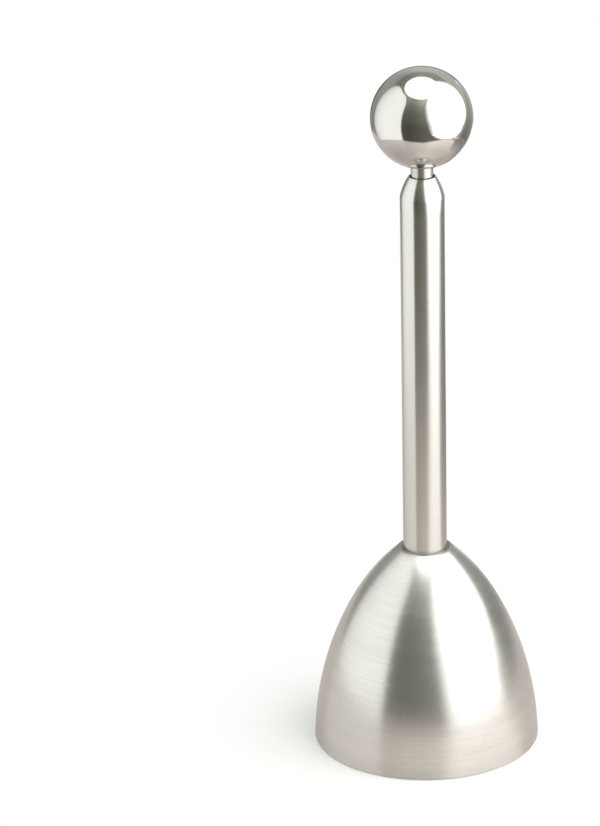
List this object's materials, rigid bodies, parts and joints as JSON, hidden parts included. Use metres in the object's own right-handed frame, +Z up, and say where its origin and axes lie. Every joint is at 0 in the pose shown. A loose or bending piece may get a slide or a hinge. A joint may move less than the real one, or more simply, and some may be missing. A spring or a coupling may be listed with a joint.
{
  "type": "egg topper",
  "caption": "Spring-driven egg topper: a ball on a pull rod in a slim tube handle, which knocks a striker on the anvil over a sharp-rimmed steel bell.",
  "frame": {"origin": "centre of the circle that the bell's rim stands on, in the plane of the rim", "axes": "+Z up the common axis of bell, tube, rod and ball; the part is round about Z, so X and Y are any pair square to it"},
  "size_m": [0.0416, 0.0416, 0.1289],
  "materials": {
    "ball_steel": "mirror-polished stainless steel",
    "rod_steel": "drawn and polished stainless steel, threaded at both ends",
    "tube_steel": "satin-polished stainless steel",
    "bell_steel": "stainless steel brushed round the axis, lightly scratched",
    "bush_brass": "turned brass",
    "spring_wire": "drawn spring wire, lightly oiled",
    "turned_steel": "turned steel with fine tool marks",
    "washer_steel": "stamped stainless steel",
    "screw_steel": "bright cold-headed stainless steel"
  },
  "bodies": {
    "handle": {"handle_tube": "tube_steel", "dome": "bell_steel", "guide_bush": "bush_brass", "anvil_plug": "turned_steel", "flat_washer": "washer_steel", "lock_washer": "spring_wire", "dome_screw": "screw_steel", "return_spring": "spring_wire"},
    "spring_end": {"spring_seat": "washer_steel"},
    "plunger": {"ball_knob": "ball_steel", "pull_rod": "rod_steel", "striker": "turned_steel"}
  },
  "joints": [
    {"name": "knob_pull", "type": "slide", "parent": "handle", "child": "spring_end", "axis": [0, 0, 1], "range_m": [0, 0.022], "stiffness_N_per_m": 1285, "springref_m": -0.005, "deforming": ["return_spring"]},
    {"name": "knob_turn", "type": "hinge", "parent": "spring_end", "child": "plunger", "pos_m": [0, 0, 0.1197], "axis": [0, 0, 1], "continuous": true}
  ]
}
